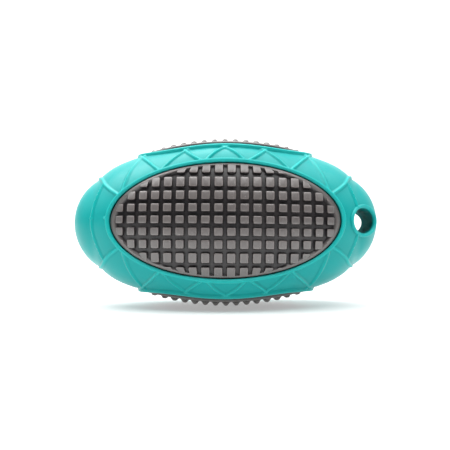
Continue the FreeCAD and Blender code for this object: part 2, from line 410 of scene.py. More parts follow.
def raised_lines(sizes):
    """Every raised line of one quarter strip, and its mirror images on the front half."""
    corner = bowed_line(LINE_FEET[5], CORNER_NODE, CORNER_ANGLE, 1, CORNER_BOW, sizes)
    lines = [corner, ring_line()]
    for foot, crossing in ((0, 0), (1, 1), (2, 1), (3, 2), (4, 2)):
        place, gap, share = CROSSINGS[crossing]
        angle = crossing_angle(np.array(place), gap, sizes)
        lines.append(bowed_line(LINE_FEET[foot], place, angle, share, LINE_BOW, sizes))
    mirrors = [(1, 1, 1), (-1, 1, 1), (1, 1, -1), (-1, 1, -1)]
    return [line * np.array(mirror) for mirror in mirrors for line in lines]


def distance_to(points, path):
    """Distance of each point from the nearest point of a path, near the path only."""
    flat = points.reshape(-1, 3)
    found = np.full(len(flat), 99.0)
    low, high = path.min(axis=0) - 3, path.max(axis=0) + 3
    near = np.flatnonzero(((flat > low) & (flat < high)).all(axis=1))
    for part in np.array_split(near, max(1, len(near) // 4000)):
        gap = flat[part][:, None, :] - path[None]
        found[part] = np.sqrt(np.einsum("ijk,ijk->ij", gap, gap).min(axis=1))
    return found.reshape(points.shape[:-1])


def rim_profile(gap, relief):
    """Height of a rim over the distance from its opening.

    It climbs by a quarter of an ellipse, stays level and falls by a squared cosine.
    """
    climb, level, foot = 0.8, 1.4, 2.25
    rise = np.sqrt(np.clip(1 - (1 - np.clip(gap / climb, 0, 1)) ** 2, 0, 1))
    fall = np.cos(np.pi / 2 * np.clip((gap - level) / (foot - level), 0, 1)) ** 2
    return relief * (0.15 + 0.85 * rise) * fall


def line_profile(gap, width, relief):
    """Height of a raised line: a cosine over its width, sharpened a little at its foot."""
    return relief * np.cos(np.pi / 2 * np.clip(gap / (width / 2), 0, 1)) ** 1.3


def foot_shade(gap):
    """How sheltered the surface is at a gap from a raised line's foot, by a cosine, for the
    painted shade there.
    """
    return np.cos(np.pi / 2 * np.clip(gap / 0.7, -1, 1)) ** 2


# ---------------- the frame's halves
QUARTER = 216  # columns of the grid from a nose to the middle
RIM_ROWS = np.arange(0, 2.7, 0.2)  # distances of the first and last rows, in millimetres
PANEL_ROWS = 52
WALL = 3.0
RIM_FOOT = 2.3  # where a rim meets the panel, from its opening
LIP_WIDTH = 2.2  # from the seam
PART_LINE_DEPTH, PART_LINE_WIDTH = 0.3, 0.35


def all_round(quarter):
    """The dial places of a quarter carried round all four quarters of the front half."""
    flips = [(1, 0), (-1, math.pi), (1, math.pi), (-1, 2 * math.pi)]
    parts = []
    for sign, shift in flips:
        part = quarter[::sign].copy()
        part[:, 1] = shift + sign * part[:, 1]
        parts.append(part[:-1])
    return np.concatenate(parts)


def boundary_paths(sizes):
    """Inner and outer edge of the front half, as dial places, and the side rim's path.

    The inner edge is the front opening. The outer one runs along the seam from the nose
    to the top opening's end, and then along that opening's front edge to the middle.
    """
    angle = np.linspace(0, math.pi / 2, 600)
    x, z = sizes.front_opening * np.cos(angle), sizes.opening_width * np.sin(angle)
    inner = np.stack([x, -lift(x, z), z], axis=-1)
    x, y = sizes.side_opening * np.cos(angle), sizes.opening_width * np.sin(angle)
    edge = np.stack([x, -y, lift(x, y)], axis=-1)
    end_turn = to_dial(edge[0])[1]
    turn = np.linspace(0, end_turn, 600)
    seam = from_dial(np.stack([np.full(600, math.pi / 2), turn], axis=-1))
    legs = [np.linalg.norm(np.diff(p, axis=0), axis=1).sum() for p in (seam, edge)]
    on_seam = round(QUARTER * legs[0] / sum(legs))
    outer = [even_steps(seam, on_seam)[:-1], even_steps(edge, QUARTER - on_seam)]
    outer = np.concatenate(outer)
    inner = all_round(to_dial(even_steps(inner, QUARTER)))
    return inner, all_round(to_dial(outer)), even_steps(edge, 260)


def front_half_grid(sizes):
    """Grid of the form between the front half's edges, with rows at even distances."""
    inner, outer, side_edge = boundary_paths(sizes)

    def between(share):
        """Rows of the form at the given shares of the way from the inner edge."""
        mixed = inner[:, None] * (1 - share[..., None]) + outer[:, None] * share[..., None]
        return from_dial(mixed)

    rough = between(np.tile(np.linspace(0, 1, 30), (len(inner), 1)))
    breadth = np.linalg.norm(np.diff(rough, axis=1), axis=-1).sum(axis=1)[:, None]
    near = RIM_ROWS / breadth
    steps = np.arange(1, PANEL_ROWS + 1) / (PANEL_ROWS + 1)
    middle = near[:, -1:] + (1 - 2 * near[:, -1:]) * steps
    return between(np.concatenate([near, middle, 1 - near[:, ::-1]], axis=1)), side_edge


def frame_relief(base, from_front, from_side, sizes):
    """Height of the skin over the form, and its shade: 1 on a rim, under 0 at a foot.

    Rims, raised lines and the lip along the seam are joined by the fourth root of the sum
    of their fourth powers. The shade paints rims and lines paler as a painted highlight
    and their feet darker as painted shade.
    """
    rims = rim_profile(from_front, sizes.rim_relief)
    rims = np.maximum(rims, rim_profile(from_side, sizes.rim_relief))
    lines, foot = np.zeros_like(rims), np.zeros_like(rims)
    for line in raised_lines(sizes):
        gap = distance_to(base, line)
        lines = np.maximum(lines, line_profile(gap, sizes.line_width, sizes.line_relief))
        foot = np.maximum(foot, foot_shade(gap - sizes.line_width / 2))
    foot = np.maximum(foot, foot_shade(np.minimum(from_front, from_side) - RIM_FOOT))
    for x, z, width, relief in NUBS:
        gap = distance_to(base, np.array([[x, -lift(x, z), z]]))
        lines = np.maximum(lines, line_profile(gap, width, relief))
    clear = smooth_step(from_side, 1.0, 4.0)
    from_seam = np.abs(base[..., 1])
    lip = np.cos(np.pi / 2 * np.clip(from_seam / LIP_WIDTH, 0, 1)) ** 0.7
    lip = SEAM_LIP * lip * clear
    part_line = PART_LINE_DEPTH * np.clip(1 - from_seam / PART_LINE_WIDTH, 0, 1) * clear
    from_hub = np.hypot(base[..., 0] - HUB_X, base[..., 2]) - sizes.hole_radius
    lines = lines * smooth_step(from_hub, 0.4, 1.4)
    height = (rims**4 + lines**4 + lip**4) ** 0.25 - part_line
    return height, height / sizes.rim_relief - 0.09 * foot * (height < 0.35)


def frame_half(sizes):
    """Points and shade of the front half: outer skin, then the inner skin back again.

    The skin stands out from the form by its relief. The inner skin lies a wall's
    thickness in, and straight in at the openings.
    """
    base, side_edge = front_half_grid(sizes)
    normal = form_normals(base)
    leg = np.linalg.norm(np.diff(base, axis=1), axis=-1)
    from_front = np.concatenate([np.zeros((len(base), 1)), np.cumsum(leg, axis=1)], axis=1)
    folded = base * np.sign(base + 1e-9) * np.array([1, -1, 1])
    from_side = distance_to(folded, side_edge)
    height, shade = frame_relief(base, from_front, from_side, sizes)
    skin = base + normal * height[..., None]

    at_front = (1 - smooth_step(from_front, 0, 5))[..., None]
    at_side = (1 - smooth_step(from_side, 0, 5))[..., None]
    straight_in = np.zeros_like(base)
    straight_in[..., 2] = -np.sign(base[..., 2])
    inward = -normal * (1 - at_front - at_side) + straight_in * at_side
    inward[..., 1] += at_front[..., 0]
    kept = np.linspace(base.shape[1] - 1, 0, 12).round().astype(int)
    lining = (base + inward * WALL)[:, kept]
    points = np.concatenate([skin, lining], axis=1)
    # The inner skin's shade of -1 paints it dark teal as painted shade.
    return points, np.concatenate([shade, np.full(lining.shape[:2], -1.0)], axis=1)


def hang_cutter(sizes):
    """A closed column through the brush, as wide as the crest of the hang hole's ring."""
    count, past = 72, 45.0
    across, up = oval(sizes.hole_radius + 0.9, sizes.hole_radius + 0.9, count)
    loops = [np.stack([HUB_X + across, np.full(count, y), up], axis=-1) for y in (-past, past)]
    ends = np.array([[HUB_X, -past, 0], [HUB_X, past, 0]])
    points = np.concatenate([*loops, ends])
    return make_piece("hang_cutter", points, stack_faces(2, count))


def bore(piece, cutter):
    """Cuts the cutter's column out of the piece's mesh."""
    cut = piece.modifiers.new("hang_hole", "BOOLEAN")
    cut.object, cut.operation, cut.solver = cutter, "DIFFERENCE", "EXACT"
    graph = bpy.context.evaluated_depsgraph_get()
    mesh = bpy.data.meshes.new_from_object(piece.evaluated_get(graph))
    if len(mesh.polygons) <= len(piece.data.polygons) // 2:
        raise RuntimeError("the hang hole was not cut cleanly")
    piece.modifiers.clear()
    piece.data = mesh
    smooth_shade(mesh, 40)


def mirrored(points):
    """The same points behind the middle plane."""
    return points * np.array([1, -1, 1])


# ---------------- the hang hole's rings
RING_ROWS = 14  # rows of the ring that stand outside the hole


def hang_ring(sizes):
    """One half of the raised ring and sleeve that line the hang hole.

    A rounded profile is carried round the hole on the nose's surface, then runs straight
    down the wall to the seam, where a small bevel leaves the parting groove. The sleeve and
    the groove are painted dark as painted shade.
    """
    count = 96
    crest_radius = sizes.hole_radius + 0.8
    across, up = oval(1, 1, count)
    outward = np.stack([across, np.zeros(count), up], axis=-1)
    x, z = HUB_X + crest_radius * across, crest_radius * up
    seat = np.stack([x, -lift(x, z), z], axis=-1)
    normal = form_normals(seat) * 0.4 + np.array([0, -0.6, 0])
    turn = np.radians(np.linspace(-25, 205, 15))
    crown = [
        seat + outward * 0.9 * math.cos(t) + normal * (1.05 * math.sin(t)) for t in turn
    ]
    foot = seat + outward * 0.75 - normal * 1.6
    top = crown[-1][:, 1]
    axis = np.array([HUB_X, 0, 0])
    rows = [foot, *crown]
    for share in (0.92, 0.75, 0.5, 0.25, 0.02):
        wall = axis + outward * sizes.hole_radius
        wall[:, 1] = top * share
        rows.append(wall)
    rows.append(axis + outward * (sizes.hole_radius + 0.4))
    rows.append(axis + outward * (sizes.hole_radius + 1.6))
    return np.stack(rows)


# ---------------- pads
def crown_height(x, across, dome, sizes):
    """Height of the dome through the teeth's tips.

    The crown times the root of 1 less the squares of x and across over the dome's half
    sizes, and less a share of their product, which lets the dome down to the rims.
    """
    along = (x / dome[0]) ** 2
    over = (across / dome[1]) ** 2
    return sizes.crown * np.sqrt(np.clip(1 - along - over - 1.3 * along * over, 0.05, 1))


# Each kind of pad: half sizes of its dome, widths of its smooth margin at the ends and at
# the sides, how far the margin is sunk below the tips, and the slope inside it.
WAFFLE = SimpleNamespace(dome=(73.4, 49.8), margins=(2.0, 0.95), sunk=0.2, slope=2.0)
STUDDED = SimpleNamespace(dome=(72.5, 62.0), margins=(1.5, 1.0), sunk=0.5, slope=0.15)
PAD_GAP = 0.35  # between a pad's edge and its opening
SLOPE_LOSS = 0.65  # how much narrower the slope is at the sides than at the ends


def pad_slab(kind, half_length, half_width, sizes):
    """A pad's crowned slab with a smooth raised margin, as a pile of ovals.

    Each loop is given by its distance in from the edge, partly as a share of the margin's
    width, and its depth below the tips; the floor inside shrinks evenly to the middle.
    The margin's top is sunk a little below the tips, and falls to the floor by a slope.
    """
    count = 240
    across, up = oval(1, 1, count)
    margin = kind.margins[0] + (kind.margins[1] - kind.margins[0]) * up**2
    slope = kind.slope * (1 - SLOPE_LOSS * up**2)
    floor, sunk = sizes.tooth_height, kind.sunk
    rim = [
        (0.0, floor + 2.2, 0.0),
        (0.0, sunk + 0.7, 0.0),
        (0.08, sunk + 0.35, 0.0),
        (0.28, sunk + 0.1, 0.0),
        (0.5, sunk, 0.0),
        (0.22, sunk, 0.5),
        (0.08, sunk + 0.06, 0.85),
        (0.0, sunk + 0.2, 1.0),
        (0.35 * slope, sunk + 0.45 * (floor - sunk), 1.0),
        (0.7 * slope, sunk + 0.85 * (floor - sunk), 1.0),
        (slope, floor, 1.0),
    ]
    loops = [(inset + margin * share, depth, 1.0) for inset, depth, share in rim]
    loops += [(margin + slope, floor, shrink) for shrink in np.linspace(1, 0, 22)[1:-1]]
    rows = []
    for step, depth, shrink in loops:
        x = (half_length - step) * across * shrink
        y = (half_width - step) * up * shrink
        height = crown_height(x, y, kind.dome, sizes) - depth
        rows.append(np.stack([x, y, height], axis=-1))
    base = rows[0][:, 2].min() - 0.5
    ends = np.array([[0, 0, base], [0, 0, sizes.crown - floor]])
    points = np.concatenate([*rows, ends])
    depths = [depth for step, depth, shrink in loops]
    # Painted shade: the margin's top takes the tooth colour, and its slope down to the floor is
    # painted darker.
    shade = np.interp(depths, [sunk, sunk + 0.3, floor], [0.8, 0.75, 0.0])
    tooth = np.concatenate([np.repeat(shade, count), [0, 0]])
    return points, list(stack_faces(len(rows), count)), tooth


def kept_inside(x, across, half_length, half_width):
    """The same points, with those outside an oval moved in to it along their radius."""
    over = np.sqrt((x / half_length) ** 2 + (across / half_width) ** 2)
    pull = 1 / np.maximum(over, 1)
    return x * pull, across * pull, over


def pile(rows, tops, feet):
    """Points of many piles of loops, each with its top's and its foot's middle point."""
    levels, copies, count = rows.shape[:3]
    body = np.moveaxis(rows, 0, 1).reshape(copies, levels * count, 3)
    points = np.concatenate([body, feet[:, None], tops[:, None]], axis=1)
    quads, fans = stack_faces(levels, count)
    size = levels * count + 2
    faces = [repeat_faces(quads, size, copies), repeat_faces(fans, size, copies)]
    return points.reshape(-1, 3), faces


COLUMN_PITCH, COLUMN_BEND = 5.66, 180.0  # spacing along the pad, and its bend's radius
ROW_PITCH, ROW_SPREAD = 5.24, 0.0071
PATTERN_TURN, PATTERN_SHIFT = math.radians(0.75), (-0.2, 0.1)
END_CELLS = (5.4, 6.6)  # sizes of the outermost cells along and across
LEAST_CELL = 0.5  # how far a cell reaches into the field at least
STUD_ROOM = 1.3  # from a stud's middle to the margin at least
# Rise over the pad and radius of a stud's loops, from its foot to its round top.
STUD_STAGES = ((-0.4, 2.2), (0.0, 2.0), (0.5, 1.5), (1.1, 1.05), (1.45, 0.78), (1.63, 0.4))


def waffle_lines():
    """Middles of the grooves across and along a waffle pad.

    Columns bend round the crown by a sine; rows spread a little towards the edges.
    """
    columns = COLUMN_BEND * np.sin(COLUMN_PITCH * np.arange(-8, 9) / COLUMN_BEND)
    half = np.arange(-3.5, 4)
    return columns, ROW_PITCH * half * (1 + ROW_SPREAD * half**2)


def turned(x, across):
    """Points of the waffle pattern, turned and moved as it sits in its pad."""
    cosine, sine = math.cos(PATTERN_TURN), math.sin(PATTERN_TURN)
    return (
        x * cosine + across * sine + PATTERN_SHIFT[0],
        across * cosine - x * sine + PATTERN_SHIFT[1],
    )


def cell_edges(lines, outer):
    """Middle and half size of the cells between groove lines, out to the outer edge."""
    bounds = np.concatenate([[-outer], lines, [outer]])
    return (bounds[1:] + bounds[:-1]) / 2, np.diff(bounds) / 2


def joined_teeth(levels, shades, rise, end_shade):
    """All teeth of a pad from their loops, level by level, and each level's shade.

    The middle point of a tooth's top stands a small rise above its last loop.
    """
    rows = np.stack(levels)
    tops = rows[-1].mean(axis=1) + np.array([0, 0, rise])
    points, faces = pile(rows, tops, rows[0].mean(axis=1))
    copies, count = rows.shape[1:3]
    one_tooth = np.concatenate([np.repeat(shades, count), [end_shade, end_shade]])
    return points, faces, np.tile(one_tooth, copies)


def chosen_cells(field_length, field_width):
    """Middles and half sizes, along and across, of the cells that reach into the field."""
    columns, rows = waffle_lines()
    x_mid, x_half = cell_edges(columns, columns[-1] + END_CELLS[0])
    z_mid, z_half = cell_edges(rows, rows[-1] + END_CELLS[1])
    x_mid, z_mid = (g.ravel() for g in np.meshgrid(x_mid, z_mid, indexing="ij"))
    x_half, z_half = (g.ravel() for g in np.meshgrid(x_half, z_half, indexing="ij"))
    x_turned, z_turned = turned(x_mid, z_mid)
    nearest = np.hypot(
        np.maximum(np.abs(x_turned) - x_half + LEAST_CELL, 0) / field_length,
        np.maximum(np.abs(z_turned) - z_half + LEAST_CELL, 0) / field_width,
    )
    return [value[nearest < 1][:, None] for value in (x_mid, z_mid, x_half, z_half)]


def cleats(half_length, half_width, sizes):
    """The square cleats of a waffle pad, each a drafted block with rounded edges.

    Their loops are rounded squares in a pattern turned and moved a little in the pad, and
    the blocks that reach the margin are drawn in and run into it.
    """
    field_length = half_length - WAFFLE.margins[0] * 0.6
    field_width = half_width - WAFFLE.margins[1] * 0.6
    x_mid, z_mid, x_half, z_half = chosen_cells(field_length, field_width)
    angle = (np.arange(16) + 0.5) / 16 * 2 * np.pi
    square = [np.sign(f) * np.abs(f) ** (2 / 9) for f in (np.cos(angle), np.sin(angle))]
    # Depth below the tips, half width of the groove there, and painted shade: dark at 0, a
    # painted highlight at 1.
    stages = [
        (sizes.tooth_height + 0.5, 0.62, 0.0),
        (sizes.tooth_height - 0.25, 0.70, 0.1),
        (0.30, 1.00, 0.6),
        (0.07, 1.10, 1.0),
        (0.0, 1.34, 0.86),
    ]
    levels = []
    for depth, groove, shade in stages:
        x = x_mid + (x_half - groove) * square[0]
        z = z_mid + (z_half - groove) * square[1]
        x, z, over = kept_inside(*turned(x, z), field_length, field_width)
        sunk = depth + (WAFFLE.sunk + 0.05) * smooth_step(over, 0.93, 1.0)
        height = crown_height(x, z, WAFFLE.dome, sizes) - sunk
        levels.append(np.stack([x, z, height], axis=-1))
    return joined_teeth(levels, [shade for depth, groove, shade in stages], -0.03, 0.8)


def studs(half_length, half_width, sizes):
    """The tapered, round-topped studs of a studded pad, on a square grid."""
    field_length = half_length - STUDDED.margins[0] - STUD_ROOM
    field_width = half_width - STUDDED.margins[1] - STUD_ROOM
    step = np.arange(-10, 11) * sizes.stud_pitch
    x_mid, y_mid = (g.ravel() for g in np.meshgrid(step, step, indexing="ij"))
    inside = np.hypot(x_mid / field_length, y_mid / field_width) < 1
    x_mid, y_mid = x_mid[inside][:, None], y_mid[inside][:, None]
    centre = crown_height(x_mid, y_mid, STUDDED.dome, sizes)
    across, up = oval(1, 1, 12)
    levels = []
    for rise, radius in STUD_STAGES:
        x, y = x_mid + radius * across, y_mid + radius * up
        floor = crown_height(x, y, STUDDED.dome, sizes)
        blend = min(max(rise, 0) / sizes.tooth_height, 1)
        height = floor * (1 - blend) + centre * blend - sizes.tooth_height + rise
        levels.append(np.stack([x, y, height], axis=-1))
    # Painted shade at a stud's foot, fading to a painted highlight at its tip.
    shades = [rise / sizes.tooth_height for rise, radius in STUD_STAGES]
    return joined_teeth(levels, shades, 0.04, 1.0)


# Where a pad's own length, width and height point in the brush's frame.
FACINGS = {
    "front": lambda p: np.stack([p[:, 0], -p[:, 2], p[:, 1]], axis=-1),
    "back": lambda p: np.stack([p[:, 0], p[:, 2], p[:, 1]], axis=-1),
    "top": lambda p: p,
    "bottom": lambda p: p * np.array([1, 1, -1]),
}


def build_pad(name, facing, slab, teeth):
    """One grey rubber pad from its slab and its teeth, turned to its side of the brush."""
    shift = len(slab[0])
    points = FACINGS[facing](np.concatenate([slab[0], teeth[0]]))
    faces = slab[1] + [side + shift for side in teeth[1]]
    tooth = np.concatenate([slab[2], teeth[2]])
    piece = make_piece(name, points, faces, {"tooth": tooth}, sharp=50)
    dress(piece, bpy.data.materials["grey_rubber"])
    return piece


# ---------------- materials
def new_group(name, inputs, outputs):
    """An empty shader node group with named sockets, given as name, type and default."""
    group = bpy.data.node_groups.new(name, "ShaderNodeTree")
    for label, kind, default in inputs:
        socket = group.interface.new_socket(label, in_out="INPUT", socket_type=kind)
        if default is not None:
            socket.default_value = default
    for label, kind in outputs:
        group.interface.new_socket(label, in_out="OUTPUT", socket_type=kind)
    return group, group.nodes.new("NodeGroupInput"), group.nodes.new("NodeGroupOutput")


def noise(nodes, links, vector, scale, detail=3.0, roughness=0.55):
    """A noise texture on the given coordinates."""
    node = nodes.new("ShaderNodeTexNoise")
    node.inputs["Detail"].default_value = detail
    node.inputs["Roughness"].default_value = roughness
    node.inputs["Scale"].default_value = scale
    links.new(vector, node.inputs["Vector"])
    return node.outputs["Fac"]


def ramp(nodes, links, value, low, high, start=0.0, end=1.0):
    """A value carried from the range low to high on to the range start to end."""
    node = nodes.new("ShaderNodeMapRange")
    limits = {"From Min": low, "From Max": high, "To Min": start, "To Max": end}
    for label, number in limits.items():
        node.inputs[label].default_value = number
    links.new(value, node.inputs["Value"])
    return node.outputs["Result"]


def arithmetic(nodes, links, operation, first, second):
    """A math node on two sockets."""
    node = nodes.new("ShaderNodeMath")
    node.operation = operation
    links.new(first, node.inputs[0])
    links.new(second, node.inputs[1])
    return node.outputs["Value"]


def moulded_grain():
    """Group: the fine grain, soft mottle and stray dust of a moulded rubber surface."""
    kind = "NodeSocketFloat"
    inputs = [("Grain Scale", kind, 2600.0), ("Dust", kind, 0.5)]
    outputs = [("Grain", kind), ("Mottle", kind), ("Specks", kind)]
    group, start, end = new_group("moulded_grain", inputs, outputs)
    nodes, links = group.nodes, group.links
    place = nodes.new("ShaderNodeTexCoord").outputs["Object"]
    grain = nodes.new("ShaderNodeTexNoise")
    grain.inputs["Detail"].default_value = 4.0
    links.new(place, grain.inputs["Vector"])
    links.new(start.outputs["Grain Scale"], grain.inputs["Scale"])
    links.new(grain.outputs["Fac"], end.inputs["Grain"])
    links.new(noise(nodes, links, place, 70.0, 4.0), end.inputs["Mottle"])
    specks = ramp(nodes, links, noise(nodes, links, place, 1500.0, 2.0), 0.66, 0.72)
    patches = ramp(nodes, links, noise(nodes, links, place, 60.0, 2.0), 0.45, 0.65)
    dust = arithmetic(nodes, links, "MULTIPLY", specks, patches)
    dust = arithmetic(nodes, links, "MULTIPLY", dust, start.outputs["Dust"])
    links.new(dust, end.inputs["Specks"])
    return group


def mix_colour(nodes, links, share, first, second):
    """A colour mix; each colour is a socket or three numbers."""
    node = nodes.new("ShaderNodeMix")
    node.data_type = "RGBA"
    links.new(share, node.inputs["Factor"])
    for slot, value in ((6, first), (7, second)):
        if isinstance(value, bpy.types.NodeSocket):
            links.new(value, node.inputs[slot])
        else:
            node.inputs[slot].default_value = (*value, 1)
    return node.outputs[2]


def new_material(name):
    """A material with a Principled shader, and the grain group placed in it."""
    material = bpy.data.materials.new(name)
    material.use_nodes = True
    nodes, links = material.node_tree.nodes, material.node_tree.links
    shader = nodes["Principled BSDF"]
    grain = nodes.new("ShaderNodeGroup")
    grain.node_tree = bpy.data.node_groups.get("moulded_grain") or moulded_grain()
    return material, nodes, links, shader, grain


def vertex_value(nodes, name):
    """The piece's own point attribute."""
    node = nodes.new("ShaderNodeAttribute")
    node.attribute_name = name
    return node.outputs["Fac"]


def bump(nodes, links, shader, height, strength, distance):
    """A bump node from a height to the shader's normal."""
    node = nodes.new("ShaderNodeBump")
    node.inputs["Strength"].default_value = strength
    node.inputs["Distance"].default_value = distance
    links.new(height, node.inputs["Height"])
    links.new(node.outputs["Normal"], shader.inputs["Normal"])


def frame_material(colours):
    """Satin teal elastomer with a fine moulded grain: painted highlights make the raised lines
    and rims paler, and painted shade darkens their feet, the lining and the hang hole.
    """
    material, nodes, links, shader, grain = new_material("teal_elastomer")
    grain.inputs["Grain Scale"].default_value = 1900.0
    grain.inputs["Dust"].default_value = 0.3
    height = vertex_value(nodes, "crest")
    # Painted highlight: the crest value mixes the paler teal onto the raised lines and rims.
    crest = ramp(nodes, links, height, 0.05, 0.55)
    base = mix_colour(nodes, links, crest, colours.teal, colours.teal_highlight)
    # Painted shade: darker teal at the feet of lines and rims, on the lining and in the hang
    # hole.
    foot = ramp(nodes, links, height, 0.0, -0.2, 0.0, 0.3)
    base = mix_colour(nodes, links, foot, base, [channel * 0.35 for channel in colours.teal])
    mottle = ramp(nodes, links, grain.outputs["Mottle"], 0.3, 0.7, 0.0, 0.16)
    deep = [channel * 0.8 for channel in colours.teal]
    base = mix_colour(nodes, links, mottle, base, deep)
    links.new(base, shader.inputs["Base Color"])
    rough = ramp(nodes, links, grain.outputs["Mottle"], 0.3, 0.7, 0.34, 0.44)
    sheltered = ramp(nodes, links, height, -0.3, -0.8, 0.0, 0.4)
    rough = arithmetic(nodes, links, "ADD", rough, sheltered)
    links.new(rough, shader.inputs["Roughness"])
    gloss = ramp(nodes, links, height, -0.9, -0.3, 0.07, 0.22)
    links.new(gloss, shader.inputs["Specular IOR Level"])
    shader.inputs["Subsurface Weight"].default_value = 0.08
    shader.inputs["Subsurface Radius"].default_value = (0.001, 0.003, 0.003)
    shader.inputs["Subsurface Scale"].default_value = 1.0
    bump(nodes, links, shader, grain.outputs["Grain"], 0.12, 0.00006)
    return material


def pad_material(colours):
    """Warm grey rubber, dusty on the teeth's tops: painted shade makes it near black between
    the teeth, and painted highlights pale on the top edges.
    """
    material, nodes, links, shader, grain = new_material("grey_rubber")
    grain.inputs["Dust"].default_value = 0.8
    tooth = vertex_value(nodes, "tooth")
    # Painted shade: the tooth value mixes from near black in the grooves to the tooth colour on
    # the tops.
    top = ramp(nodes, links, tooth, 0.25, 0.8)
    # Painted highlight on the teeth's top edges and the studs' tips.
    edge = ramp(nodes, links, tooth, 0.84, 1.0)
    base = mix_colour(nodes, links, top, colours.floor, colours.tooth)
    base = mix_colour(nodes, links, edge, base, colours.tooth_edge_highlight)
    mottle = ramp(nodes, links, grain.outputs["Mottle"], 0.3, 0.7, 0.0, 0.3)
    base = mix_colour(nodes, links, mottle, base, [c * 0.75 for c in colours.tooth])
    dust = arithmetic(nodes, links, "MULTIPLY", grain.outputs["Specks"], top)
    base = mix_colour(nodes, links, dust, base, colours.dust)
    links.new(base, shader.inputs["Base Color"])
    rough = ramp(nodes, links, tooth, 0.1, 0.8, 0.34, 0.38)
    links.new(rough, shader.inputs["Roughness"])
    gloss = ramp(nodes, links, tooth, 0.3, 0.9, 0.5, 1.0)
    links.new(gloss, shader.inputs["Specular IOR Level"])
    bump(nodes, links, shader, grain.outputs["Grain"], 0.3, 0.0001)
    return material


def hidden_material(name, colour_value, metallic, roughness):
    """A plain moulded or plated finish for the pieces inside."""
    material, nodes, links, shader, grain = new_material(name)
    mottle = ramp(nodes, links, grain.outputs["Mottle"], 0.3, 0.7, 0.0, 0.3)
    deep = [channel * 0.7 for channel in colour_value]
    links.new(mix_colour(nodes, links, mottle, colour_value, deep), shader.inputs["Base Color"])
    shader.inputs["Metallic"].default_value = metallic
    shader.inputs["Roughness"].default_value = roughness
    bump(nodes, links, shader, grain.outputs["Grain"], 0.1, 0.00005)
    return material


def stage_material():
    """Plain matt white card."""
    material = bpy.data.materials.new("white_card")
    material.use_nodes = True
    shader = material.node_tree.nodes["Principled BSDF"]
    shader.inputs["Base Color"].default_value = (0.56, 0.565, 0.565, 1)
    shader.inputs["Roughness"].default_value = 0.9
    shader.inputs["Specular IOR Level"].default_value = 0.1
    shader.inputs["Emission Color"].default_value = (1, 1, 1, 1)
    shader.inputs["Emission Strength"].default_value = 0.38
    return material


def dress(piece, material):
    """Gives the piece a single material."""
    piece.data.materials.clear()
    piece.data.materials.append(material)


# ---------------- operators
class BRUSH_OT_frame(bpy.types.Operator):
    """Build both halves of the ribbed frame, bored for the hang hole."""

    bl_idname = "brush.build_frame"
    bl_label = "Frame halves"

    def execute(self, context):
        sizes = sizes_in_mm(context)
        points, crest = frame_half(sizes)
        faces = [wrapped_faces(*points.shape[:2])]
        material = frame_material(context.scene.brush_colours)
        cutter = hang_cutter(sizes)
        for side, way in (("front", np.array), ("back", mirrored)):
            flat = way(points.reshape(-1, 3))
            piece = make_piece(side + "_frame_shell", flat, faces, {"crest": crest})
            bore(piece, cutter)
            dress(piece, material)
            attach(piece, "root")
            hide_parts(side + "_frame")
        bpy.data.objects.remove(cutter)
        return {"FINISHED"}


class BRUSH_OT_hang_rings(bpy.types.Operator):
    """Build the raised ring and sleeve of the hang hole in both halves."""

    bl_idname = "brush.build_hang_rings"
    bl_label = "Hang hole rings"

    def execute(self, context):
        rows = hang_ring(sizes_in_mm(context))
        faces = [wrapped_faces(*rows.shape[:2])]
        # Shade values: the ring outside the hole is painted a little paler, a painted
        # highlight; the sleeve and parting groove inside are painted darker, painted shade.
        crest = np.full(rows.shape[:2], -1.0)
        crest[:RING_ROWS] = 0.35
        for side, way in (("front", np.array), ("back", mirrored)):
            flat = way(rows.reshape(-1, 3))
            piece = make_piece(side + "_hang_ring", flat, faces, {"crest": crest})
            dress(piece, bpy.data.materials["teal_elastomer"])
            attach(piece, "root")
            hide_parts(side + "_frame")
        return {"FINISHED"}


class BRUSH_OT_waffle_pads(bpy.types.Operator):
    """Build the large waffle pads at the front and back."""

    bl_idname = "brush.build_waffle_pads"
    bl_label = "Waffle pads"

    def execute(self, context):
        sizes = sizes_in_mm(context)
        half_length = sizes.front_opening - PAD_GAP
        half_width = sizes.opening_width - PAD_GAP
        slab = pad_slab(WAFFLE, half_length, half_width, sizes)
        teeth = cleats(half_length, half_width, sizes)
        pad_material(context.scene.brush_colours)
        for facing in ("front", "back"):
            piece = build_pad(facing + "_waffle_pad", facing, slab, teeth)
            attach(piece, "root")
            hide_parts(facing + "_pad")
        return {"FINISHED"}


class BRUSH_OT_studded_pads(bpy.types.Operator):
    """Build the studded pads at the top and bottom."""

    bl_idname = "brush.build_studded_pads"
    bl_label = "Studded pads"

    def execute(self, context):
        sizes = sizes_in_mm(context)
        half_length = sizes.side_opening - PAD_GAP
        half_width = sizes.opening_width - PAD_GAP
        slab = pad_slab(STUDDED, half_length, half_width, sizes)
        teeth = studs(half_length, half_width, sizes)
        for facing in ("top", "bottom"):
            piece = build_pad(facing + "_studded_pad", facing, slab, teeth)
            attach(piece, "root")
            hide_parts(facing + "_pad")
        return {"FINISHED"}


class BRUSH_OT_core(bpy.types.Operator):
    """Finish the carrier and its screws, which stay inside the brush."""

    bl_idname = "brush.finish_core"
    bl_label = "Core and screws"

    def execute(self, context):
        core = hidden_material("core_plastic", context.scene.brush_colours.hidden, 0, 0.5)
        steel = hidden_material("zinc_plate", (0.55, 0.55, 0.56), 1.0, 0.35)
        for node, material in (
            ("front_core", core),
            ("back_core", core),
            ("core_screws", steel),
        ):
            dress(frame["nodes"][node], material)
        return {"FINISHED"}


def area_light(name, place, aim, size, power):
    """A soft rectangular light at a place, turned towards a point."""
    light = bpy.data.lights.new(name, "AREA")
    light.shape, light.size, light.size_y, light.energy = "RECTANGLE", *size, power
    lamp = bpy.data.objects.new(name, light)
    lamp.location = place
    way = Vector(aim) - Vector(place)
    lamp.rotation_euler = way.to_track_quat("-Z", "Y").to_euler()
    bpy.context.scene.collection.objects.link(lamp)


